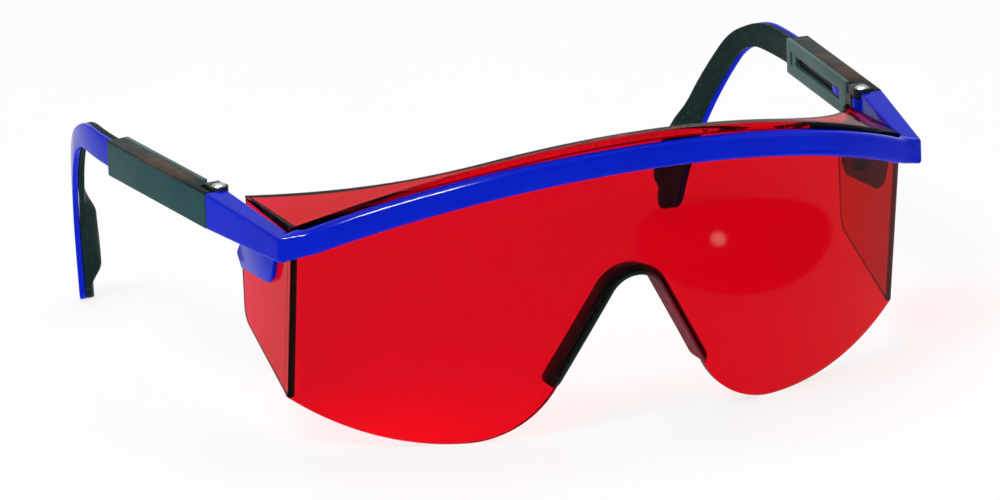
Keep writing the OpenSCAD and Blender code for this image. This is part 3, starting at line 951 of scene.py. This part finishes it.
@dataclass
class BrowBar(Assembly):
    """The blue moulding: arched bar, two arms, hinge knuckles, side clips and studs."""

    height: float = 5.4
    depth: float = 3.6
    fullness: float = 3.0
    rear_fullness: float = 16.0
    lean: float = math.radians(6)
    proud: float = 2.8
    below: float = 5.0
    end_front: float = 3.4
    end_drop: float = 2.6
    inset: float = 2.0
    join_x: float = 65.6
    arm_out: float = 3.8
    arm_front: float = 2.3
    corner_r: float = 1.4
    inner_bend: Pair = (68.3, 0.3)
    arm_front_top: float = -1.2
    arm_front_h: float = 5.2
    arm_h: float = 7.7
    arm_top: float = 1.5
    corner_fullness: float = 9.0
    upright_after: int = 10
    knuckle: Pair = (45.1, 49.5)
    knuckle_r: float = 2.0
    root_y: Pair = (-2.8, 0.0)
    root_round: float = 0.2
    clip_x: Pair = (0.1, 1.2)
    clip_y: Pair = (7.6, 30.1)
    clip_lap: float = 1.0
    clip_drop: float = 9.6
    clip_step: Pair = (3.6, 4.0)
    clip_bends: tuple = ((0.5, 4.0), (2.4, 2.6), (5.0, 0.9), (2.2, 2.4))
    clip_round: float = 0.3
    stud: tuple[float, float, float] = (67.0, 19.0, 38.7)
    stud_r: float = 1.5
    stud_length: float = 3.2
    drum_round: float = 0.25
    gap: float = 0.1
    cutter_z: Pair = (0.0, 90.0)
    cutter_depth: float = 80.0
    eye_z: Pair = (35.0, 60.0)

    @property
    def arm_bottom(self) -> float:
        """Height of the arm's rear lower edge."""
        return FORM.corner_z + self.arm_top - self.arm_h

    def bow(self) -> list[Station]:
        """Draws the right half of the bar.

        Returns:
            Its sections, from the middle.
        """
        front = FORM.front_r - math.sqrt(FORM.front_r ** 2 - FORM.half_w ** 2) + self.proud
        rise = FORM.arch_z(0) - FORM.corner_z - self.below
        run = Vector((front - self.end_front, rise + self.end_drop))
        slope = math.atan2(run.y, run.x)
        sweep_r = ((FORM.half_w - self.inset) ** 2 + run.length_squared) / (2 * run.length)
        across = Vector((0, math.cos(slope), -math.sin(slope)))
        normal = Vector((0, math.sin(slope), math.cos(slope)))
        pivot = Vector((0, -front, FORM.corner_z + rise)) + across * sweep_r
        tilt = self.lean + slope
        stations = []
        for at in spread([(math.asin(self.join_x / sweep_r), 44)]):
            radial = Vector((math.sin(at), 0, 0)) - across * math.cos(at)
            stations.append(Station(pivot + radial * sweep_r,
                                    radial * math.cos(tilt) - normal * math.sin(tilt),
                                    radial * math.sin(tilt) + normal * math.cos(tilt),
                                    self.depth, self.height, self.fullness))
        return stations

    def arm(self, last: Station) -> list[Station]:
        """Sections of the right arm, from the bar's end to the hinge, fanned round its corner.

        Args:
            last: The bar's end section.

        Returns:
            The sections in order.
        """
        corner = Vector((FORM.half_w + self.arm_out, -self.arm_front, 0))
        start = flat(last.centre + last.wide * self.depth / 2)
        rear = [HINGE.point(x, HINGE.arm_end) for x in (HINGE.sleeve[1], HINGE.sleeve[0])]
        to_front, to_rear = (start - corner).normalized(), (rear[0] - corner).normalized()
        half_turn = to_front.angle(to_rear) / 2
        run = self.corner_r / math.tan(half_turn)
        pivot = corner + (to_front + to_rear).normalized() * self.corner_r / math.sin(half_turn)
        first, turn = corner + to_front * run - pivot, math.pi - 2 * half_turn
        outer = [start.lerp(pivot + first, s) for s in shares(6)]
        outer += [pivot + Matrix.Rotation(turn * s, 3, "Z") @ first for s in shares(12)]
        outer += [outer[-1].lerp(rear[0], s) for s in shares(20)]
        within = flat(last.centre - last.wide * self.depth / 2)
        bend = Vector((*self.inner_bend, 0))
        inner = [within.lerp(bend, s) for s in spread([(0.7, 6), (1.0, 12)])[1:]]
        inner += [bend.lerp(rear[1], s) for s in shares(20)]
        stations = []
        for index, (far_side, near_side) in enumerate(zip(outer, inner)):
            middle, wide = (far_side + near_side) / 2, far_side - near_side
            up = ease((index + 1) / self.upright_after)
            back = min(max((far_side.y + self.arm_front) / (rear[0].y + self.arm_front), 0), 1)
            top = FORM.corner_z + blend(self.arm_front_top, self.arm_top, back)
            low = blend(FORM.corner_z + self.arm_front_top - self.arm_front_h, self.arm_bottom,
                        back)
            tall = last.tall.lerp(Vector((0, 0, 1)), up).normalized()
            middle.z = blend(last.centre.z, (top + low) / 2, up)
            level = (wide - tall * wide.dot(tall)).normalized()
            full = blend(self.fullness, self.corner_fullness, up)
            stations.append(Station(middle, level, tall, wide.length,
                                    blend(self.height, top - low, up),
                                    blend(full, self.rear_fullness, back)))
        return stations

    def cutter(self) -> BMesh:
        """Draws the room that the lens and the hinge eyes need.

        Returns:
            The solid to take out of the bar.
        """
        bm = bmesh.new()
        reach = FORM.half_w + self.gap
        drape(bm, [[Vector((x, FORM.front_y(x, z, -self.gap), z)) for z in self.cutter_z]
                   for x in spread([(reach, 72)], -reach)])
        bmesh.ops.translate(bm, verts=extruded(bm), vec=(0, self.cutter_depth, 0))
        bmesh.ops.recalc_face_normals(bm, faces=bm.faces)
        for side in Side:
            for low, high in ((self.knuckle[1], self.eye_z[1]), (self.eye_z[0], self.knuckle[0])):
                drum(bm, HINGE.eye_room, high - low, side.mirror() @ Matrix.Translation(
                    (*HINGE.axis, (low + high) / 2)))
        return bm

    def build(self) -> None:
        """Builds the bar with its arms, knuckles, clips and studs."""
        right = self.bow()
        right += self.arm(right[-1])
        rings = [station.ring() for station in right]
        flipped = [[Vector((-p.x, p.y, p.z)) for p in ring] for ring in reversed(rings[1:])]
        bm = bmesh.new()
        loft(bm, flipped + rings)
        bm = carve(bm, self.cutter())
        for side in Side:
            self.fittings(bm, side)
        finish_piece(bm, "brow_moulding", "frame", self.finishes.blue,
                     ("brow_bar",), FORM.origin(), crisp=40)

    def clip(self) -> list[Pair]:
        """Draws the clip, whose rear corner steps down for the lens's notch.

        Returns:
            The corners of its outline.
        """
        front, rear = self.clip_y
        top, foot = self.arm_bottom + self.clip_lap, self.arm_bottom - self.clip_drop
        run, drop = self.clip_step
        shoulder, knee, heel, toe = self.clip_bends
        return [(front, top), (front + shoulder[0], top - shoulder[1]),
                (front + knee[0], foot + knee[1]), (front + heel[0], foot + heel[1]),
                (rear - toe[0], foot), (rear, foot + toe[1]), (rear, LENS_NOTCH_Z - drop),
                (rear - run, LENS_NOTCH_Z), (rear - run, top)]

    def fittings(self, bm: BMesh, side: Side) -> None:
        """Adds one side's knuckle, clip and stud.

        Args:
            bm: The mesh that they are added to.
            side: The side.
        """
        piece = bmesh.new()
        slab(piece, self.clip(), *(FORM.half_w + x for x in self.clip_x), self.clip_round)
        across = Matrix.Rotation(math.pi / 2, 4, "Y")
        drum(piece, self.stud_r, self.stud_length, Matrix.Translation(self.stud) @ across,
             self.drum_round)
        knuckle = bmesh.new()
        low, high = self.knuckle
        drum(knuckle, self.knuckle_r, high - low, Matrix.Translation((0, 0, (low + high) / 2)),
             self.drum_round)
        block(knuckle, self.root_y, self.knuckle, (HINGE.sleeve[0], self.knuckle_r),
              self.root_round)
        bmesh.ops.transform(knuckle, matrix=HINGE.matrix(), verts=knuckle.verts)
        join(piece, knuckle)
        bmesh.ops.transform(piece, matrix=side.mirror(), verts=piece.verts)
        bmesh.ops.recalc_face_normals(piece, faces=piece.faces)
        join(bm, piece)


def carve(bm: BMesh, tool: BMesh) -> BMesh:
    """Takes one solid out of another.

    Args:
        bm: The solid that is cut; it is freed.
        tool: The solid that is taken out; it is freed.

    Returns:
        The cut solid.
    """
    pair = [placed(name, settled(name, solid)) for name, solid in (("blank", bm), ("tool", tool))]
    cut = pair[0].modifiers.new("cut", "BOOLEAN")
    cut.operation, cut.solver, cut.object = "DIFFERENCE", "EXACT", pair[1]
    bpy.context.view_layer.update()
    ready = pair[0].evaluated_get(bpy.context.evaluated_depsgraph_get())
    carved = bmesh.new()
    carved.from_mesh(ready.to_mesh())
    ready.to_mesh_clear()
    for blank in pair:
        mesh = blank.data
        bpy.data.objects.remove(blank)
        bpy.data.meshes.remove(mesh)
    return carved


@dataclass
class NoseSaddle(Assembly):
    """The soft saddle on the nose edge: a fine front bead, a groove for the lens and a deep
    flange behind it, ribbed along its length."""

    bead_w: float = 0.55
    bead_t: float = 0.45
    bead_round: Pair = (0.15, 0.2)
    bead_lip: float = 0.1
    flange_t: float = 2.0
    flange_depth: float = 4.8
    flange_round: float = 0.3
    flange_slope: float = 0.5
    heel: float = 0.4
    score_w: Pair = (0.3, 0.4)
    score_d: float = 0.4
    groove_w: float = 0.6
    groove_d: float = 0.8
    groove_taper: float = 0.1
    groove_start: float = 0.5
    ribs: int = 4
    gap: float = 0.1
    middle: float = 0.5
    edge_round: float = 0.08
    end_gap: float = 0.05
    end_share: float = 0.06
    end_size: Pair = (0.03, 0.8)
    steps: int = 110
    search: int = 400

    def section(self) -> list[Pair]:
        """Draws the section.

        Returns:
            Its points: depth behind the lens's front, and distance into the lens.
        """
        front, behind = -self.gap - self.bead_t, FORM.thick + self.gap
        rear = behind + self.flange_depth
        points = [(front + self.bead_round[0], 0.0), (front, self.bead_round[1]),
                  (front + self.bead_lip, self.bead_w), (-self.gap, self.bead_w + self.bead_lip),
                  (-self.gap, self.bead_w), (behind, self.bead_w)]
        floor, mouth = (width / 2 for width in self.score_w)
        for place in (1, 2):
            middle = self.bead_w + place * (self.flange_t - self.bead_w) / 3
            points += [(behind, middle - mouth), (behind + self.score_d, middle - floor),
                       (behind + self.score_d, middle + floor), (behind, middle + mouth)]
        points += [(behind, self.flange_t - self.flange_round),
                   (behind + self.flange_round, self.flange_t),
                   (rear - self.flange_slope, self.flange_t * 3 / 4), (rear, self.flange_t / 2),
                   (rear, self.heel), (rear - self.heel, 0.0)]
        pitch = (rear - 2 * self.groove_start) / self.ribs
        for index in reversed(range(self.ribs)):
            start = self.groove_start + index * pitch
            end = start + self.groove_w
            points += [(end, 0.0), (end - self.groove_taper, self.groove_d),
                       (start + self.groove_taper, self.groove_d), (start, 0.0)]
        return points

    def build(self) -> None:
        """Builds the saddle."""
        foot = NOSE.end_z + self.end_gap
        low_share = next(s for s in spread([(1.0, self.search)]) if NOSE.edge(s, 0)[1] < foot)
        least, flat_share = self.end_size
        section = self.section()
        mid_depth = (section[0][0] + FORM.thick + self.flange_depth) / 2
        rings = []
        for index in range(self.steps + 1):
            share = low_share * (2 * index / self.steps - 1)
            left = 1 - abs(share) / low_share
            end = math.sqrt(max(1 - (1 - min(left / self.end_share, 1)) ** 2, least))
            ring = []
            for depth, into in section:
                depth = mid_depth + (depth - mid_depth) * blend(flat_share, 1, end)
                x, z = NOSE.edge(abs(share), self.middle + (into - self.middle) * end)
                x = math.copysign(x, share)
                ring.append(Vector((x, FORM.front_y(x, z, depth), z)))
            rings.append(ring)
        bm = bmesh.new()
        loft(bm, rings)
        soften(bm, sharp_edges(bm, 45), self.edge_round, 2)
        piece = finish_piece(bm, "nose_saddle", "frame", self.finishes.nose,
                             ("nose_pad",), FORM.origin(), crisp=50)


PathPoint = tuple[float, float, Vector, float]


@dataclass
class Temple(Assembly):
    """One side's hinge block, pins, sleeve, cover and ear-piece."""

    side: Side
    shank_y: float = 46.55
    shank_z: float = 47.35
    bend_y: float = 63.55
    hook_r: float = 20.0
    hook_angle: float = math.radians(48)
    tail_r: float = 90.0
    plan_r: float = 101.5
    ear_h: float = 6.2
    ear_round: float = 0.5
    tip_z: float = 3.7
    shell: Pair = (1.5, 2.8)
    soft_t: float = 1.4
    swell: float = 2.1
    # Each pair below holds where a change starts, and the way it takes.
    swell_top: Pair = (28.0, 7.0)
    swell_low: Pair = (3.0, 5.0)
    waist_run: Pair = (-4.0, 12.0)
    waist_low: Pair = (12.0, 14.0)
    point_top: Pair = (14.0, 11.0)
    waist: float = 1.5
    point: float = 2.2
    swell_after: float = 10.0
    swell_narrow: float = 0.04
    crown_power: float = 2.6
    crown_in: float = 0.35
    rim: float = 0.3
    rim_share: float = 0.97
    pad_lap: float = 0.3
    pad_inset: float = 0.1
    tip_gap: float = 0.05
    tip_blunt: float = 0.06
    nub: tuple = ((12.3, 17.3), (46.13, 48.17), (-0.8, 0.4), 0.35)
    tongue: tuple = ((12.0, 46.9), (44.45, 49.85), (0.15, 2.85), 0.3)

    def matrix(self) -> Matrix:
        """The temple's own frame in the row frame."""
        return FORM.origin() @ HINGE.matrix()

    def build(self) -> None:
        """Builds every piece of the temple."""
        word, kinds = self.side.word, self.finishes
        for part, slot, body, radius, material in (
                ("sleeve", "temple_black", "temple", 0.35, kinds.slate),
                ("sleeve_cover", "temple_black", "temple", 0.2, kinds.cover),
                ("hinge_block", "temple_black", "hinge", 0.22, kinds.black),
                ("hinge_pin", "pin_steel", "hinge", 0.12, kinds.steel),
                ("tilt_pin", "pin_steel", "temple", 0.1, kinds.steel)):
            node = f"{word}_{part}"
            finish_piece(copy_of(node, radius), f"{node}_shown", f"{word}_{body}", material,
                         (node,), crisp=30)
        self.ear_shell()
        self.ear_pad()

    def path(self, start: float, narrow: float) -> list[PathPoint]:
        """The ear-piece's middle line in side view.

        Args:
            start: Where it starts along the temple.
            narrow: How much narrower the layer is than the shell.

        Returns:
            For each point its Y, Z, the direction across it, and half its height.
        """
        half = (self.ear_h - narrow) / 2
        points = [(y, self.shank_z, Vector((0, 0, 1)), half)
                  for y in spread([(self.bend_y, 16)], start)]
        end = math.pi / 2 - self.hook_angle
        low = self.shank_z - self.hook_r
        tail_y = self.bend_y + (self.hook_r - self.tail_r) * math.cos(end)
        tail_z = low + (self.hook_r - self.tail_r) * math.sin(end)
        last = math.asin((self.tip_z - tail_z) / self.tail_r)
        for centre_y, centre_z, radius, first, final, steps in (
                (self.bend_y, low, self.hook_r, math.pi / 2, end, 40),
                (tail_y, tail_z, self.tail_r, end, last, 150)):
            for at in spread([(final, steps)], first)[1:]:
                out = Vector((0, math.cos(at), math.sin(at)))
                points.append((centre_y + radius * out.y, centre_z + radius * out.z, out, half))
        points = [self.drawn_in(point) for point in points]
        y, z, out, half = points[-1]
        length = math.sqrt(z * z - (out.z * half) ** 2) / out.y - self.tip_gap
        for turn in spread([(math.pi / 2 - self.tip_blunt, 14)])[1:]:
            run = length * math.sin(turn)
            points.append((y + out.z * run, z - out.y * run, out, half * math.cos(turn)))
        return points

    def drawn_in(self, point: PathPoint) -> PathPoint:
        """Narrows the ear-piece's outer edge below the bend, and again towards its tip.

        Args:
            point: A point of the path.

        Returns:
            The narrowed point.
        """
        y, z, out, half = point
        (start, run), (low, rise), (top, fall) = self.waist_run, self.waist_low, self.point_top
        cut = (self.waist * ease((y - self.bend_y - start) / run) * ease((z - low) / rise)
               + self.point * ease((top - z) / fall))
        return y - out.y * cut / 2, z - out.z * cut / 2, out, half - cut / 2

    def layer(self, point: PathPoint, section: list[Pair]) -> list[Vector]:
        """A cross-section of one layer of the ear-piece.

        Args:
            point: A point of the path.
            section: Depth from the inner face, and share of the half height.

        Returns:
            Its points.
        """
        y, z, out, half = point
        ring = []
        for depth, up in section:
            at_y, at_z = y + out.y * up * half, z + out.z * up * half
            x = math.sqrt((self.plan_r + depth) ** 2 - (at_y - self.shank_y) ** 2) - self.plan_r
            ring.append(Vector((x, at_y, at_z)))
        return ring

    def ear_shell(self) -> None:
        """Builds the blue shell with the tongue and the nub that run in the sleeve."""
        word = self.side.word
        low, high = self.shell
        shape = [((low + high) / 2 + a, u / (self.ear_h / 2))
                 for a, u in round_section(high - low, self.ear_h, self.ear_round)]
        bm = bmesh.new()
        loft(bm, [self.layer(p, shape) for p in self.path(self.shank_y, 0)])
        block(bm, *self.nub)
        finish_piece(bm, f"{word}_ear_shell_shown", f"{word}_ear", self.finishes.blue,
                     (f"{word}_ear_shell",), self.matrix(), self.side)
        tongue = bmesh.new()
        block(tongue, *self.tongue)
        finish_piece(tongue, f"{word}_tongue", f"{word}_ear", self.finishes.black,
                     (), self.matrix(), self.side)

    def ear_pad(self) -> None:
        """Builds the soft layer, which swells in one long step behind the ear."""
        word = self.side.word
        (top, fall), (low, rise) = self.swell_top, self.swell_low
        rings = []
        for point in self.path(self.shank_y + self.pad_lap, self.pad_inset):
            y, z = point[:2]
            step = (ease((top - z) / fall) * ease((z - low) / rise)
                    if y > self.bend_y + self.swell_after else 0)
            shape = [(self.soft_t, self.rim_share), (self.soft_t - self.rim, 1.0)]
            for up in spread([(-1.0, 18)], 1.0):
                crown = 1 - abs(up) ** self.crown_power
                shape.append((self.crown_in * (1 - crown ** 0.5) - self.swell * step * crown,
                              up * (1 - self.swell_narrow * step)))
            shape += [(self.soft_t - self.rim, -1.0), (self.soft_t, -self.rim_share)]
            rings.append(self.layer(point, shape))
        bm = bmesh.new()
        loft(bm, rings)
        piece = finish_piece(bm, f"{word}_ear_pad_shown", f"{word}_ear", self.finishes.soft,
                             (f"{word}_ear_pad",), self.matrix(), self.side)


# Studio


@dataclass(frozen=True)
class Lamp:
    """One soft lamp that faces the object. A streak lamp gives no diffuse light."""

    name: str
    spot: tuple[float, float, float]
    size: Pair
    power: float
    streak: bool = False

    def hang(self) -> None:
        """Hangs the lamp at its spot."""
        data = bpy.data.lights.new(self.name, "AREA")
        data.shape = "RECTANGLE"
        data.size, data.size_y = self.size
        data.energy = self.power
        lamp = placed(self.name, data)
        lamp.location = self.spot
        towards = Vector((0, 0, 0.03)) - Vector(self.spot)
        lamp.rotation_euler = towards.to_track_quat("-Z", "Y").to_euler()
        lamp.visible_diffuse = not self.streak


@dataclass(frozen=True)
class Patch:
    """An oval of the floor that only mirrored rays see, which paints a reflection into the lens.
    """

    middle: Pair
    half_size: Pair
    blur: float
    turn: float = math.radians(30)

    def mask(self, mix: Recipe, mirrored: Socket) -> Socket:
        """Where the oval lies.

        Args:
            mix: The floor's material.
            mirrored: What is 1 for mirrored rays.

        Returns:
            What is 1 inside the oval for those rays, and 0 elsewhere.
        """
        place = mix.add("ShaderNodeMapping", {
            "Vector": mix.place, "Location": (*self.middle, 0), "Rotation": (0, 0, self.turn),
            "Scale": (*self.half_size, 1)}, vector_type="TEXTURE")
        reach = mix.add("ShaderNodeVectorMath", {0: place.outputs[0]}, operation="LENGTH")
        inside = mix.between(reach.outputs["Value"], 1 - self.blur, 1 + self.blur, (1, 0))
        return mix.maths("MULTIPLY", mirrored, inside)


@dataclass
class Studio:
    """Pale floor, soft lamps, white background and the camera."""

    azimuth: float = math.radians(-21.6384)
    elevation: float = math.radians(16.8971)
    roll: float = math.radians(-2.3806)
    focal_px: float = 7909.78
    sensor_px: float = 1000.0
    sensor: float = 36.0
    aim: Pair = (-2.3553, 19.4238)
    distance: float = 1686.351
    # A painted dark reflection for the lens.
    dark_reflection_oval: Patch = Patch((0.068, -0.102), (0.049, 0.018), 0.04)
    # A painted glint for the lens: a spot of floor that glows for mirrored rays, though it is no
    # lamp.
    glint: Patch = Patch((0.060, -0.110), (0.0034, 0.0026), 0.3)
    glint_strength: float = 380.0
    floor_size: float = 6.0
    floor_white: float = 0.72
    paper: Colour = (0.86, 0.86, 0.86)
    dark_reflection_tone: Colour = (0.05, 0.05, 0.05)
    sky: float = 0.32
    lamps: tuple[Lamp, ...] = (
        Lamp("key", (-0.75, -0.55, 1.30), (0.60, 0.60), 8.0),
        Lamp("top", (0.15, 0.25, 1.60), (1.40, 1.00), 10.0),
        Lamp("side", (1.30, -0.70, 0.80), (0.90, 0.90), 5.0),
        Lamp("strip", (-0.62, -0.46, 0.98), (0.62, 0.24), 215.0, streak=True))

    def build(self) -> None:
        """Sets up the floor, the world, the lamps and the camera."""
        self.floor()
        self.world()
        for lamp in self.lamps:
            lamp.hang()
        self.camera()
        bpy.context.scene.view_settings.view_transform = "Standard"

    def floor(self) -> None:
        """Lays the pale floor, which looks white and keeps a soft shadow. For mirrored rays it
        holds a painted dark oval and a glowing spot, which paint a dark reflection and a glint
        into the lens.
        """
        mix = Recipe("floor_white")
        rays = mix.add("ShaderNodeLightPath", {}).outputs
        mirrored = mix.maths("SUBTRACT", rays["Is Glossy Ray"], rays["Is Transmission Ray"])
        # Painted reflection: a dark oval of floor that only mirrored rays see, so the lens mirrors
        # a dark patch.
        dark_reflection_oval = self.dark_reflection_oval.mask(mix, mirrored)
        mix.feed(mix.surface, {
            "Base Color": mix.mixed(dark_reflection_oval, self.paper, self.dark_reflection_tone),
            "Roughness": mix.between(mix.noise(35.0), 0.3, 0.7, (0.66, 0.74))})
        # Painted glint: the floor glows strongly in that small spot, for mirrored rays only.
        glow = mix.add("ShaderNodeEmission", {
            "Color": mix.mixed(dark_reflection_oval, WHITE, self.dark_reflection_tone),
            "Strength": mix.between(self.glint.mask(mix, mirrored), 0, 1,
                                    (1, self.glint_strength))})
        shown = mix.add("ShaderNodeMixShader", {
            0: mix.between(mix.plain_sight(), 0, 1, (0, self.floor_white)),
            1: mix.surface.outputs[0], 2: glow.outputs[0]})
        mix.feed(mix.output, {"Surface": shown.outputs[0]})
        bm = bmesh.new()
        bmesh.ops.create_grid(bm, x_segments=1, y_segments=1, size=self.floor_size)
        mesh = settled("floor", bm)
        mesh.materials.append(mix.material)
        plane = placed("floor", mesh)

    def world(self) -> None:
        """Sets an even pale world that looks white to the camera."""
        world = bpy.data.worlds.new("studio")
        bpy.context.scene.world = world
        world.use_nodes = True
        sky = Wiring(world.node_tree)
        light, white = (sky.add("ShaderNodeBackground", {"Color": WHITE, "Strength": power})
                        for power in (self.sky, 1.0))
        shown = sky.add("ShaderNodeMixShader", {0: sky.plain_sight(), 1: light.outputs[0],
                                                2: white.outputs[0]})
        sky.add("ShaderNodeOutputWorld", {"Surface": shown.outputs[0]})

    def camera(self) -> None:
        """Sets the camera at the photograph's viewing angle."""
        back = Vector((math.sin(self.azimuth) * math.cos(self.elevation),
                       -math.cos(self.azimuth) * math.cos(self.elevation),
                       math.sin(self.elevation)))
        level = Vector((math.cos(self.azimuth), math.sin(self.azimuth), 0))
        upright = back.cross(level)
        right = level * math.cos(self.roll) + upright * math.sin(self.roll)
        up = upright * math.cos(self.roll) - level * math.sin(self.roll)
        data = bpy.data.cameras.new("camera")
        data.sensor_width = self.sensor
        data.lens = self.focal_px * self.sensor / self.sensor_px
        data.clip_start, data.clip_end = 0.05, 50.0
        camera = placed("camera", data)
        spot = (right * self.aim[0] + up * self.aim[1] + back * self.distance) * MM
        turned = Matrix((right, up, back)).transposed().to_4x4()
        camera.matrix_world = Matrix.Translation(spot) @ turned
        bpy.context.scene.camera = camera


def main() -> None:
    """Builds the glasses and the studio, and logs each part as it is done."""
    Studio().build()
    finishes = Finishes()
    for part in (Lens(finishes), BrowBar(finishes), NoseSaddle(finishes),
                 *(Temple(finishes, side) for side in Side)):
        part.build()
        log.info("%s done", type(part).__name__)
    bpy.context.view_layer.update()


if __name__ == "__main__":
    main()
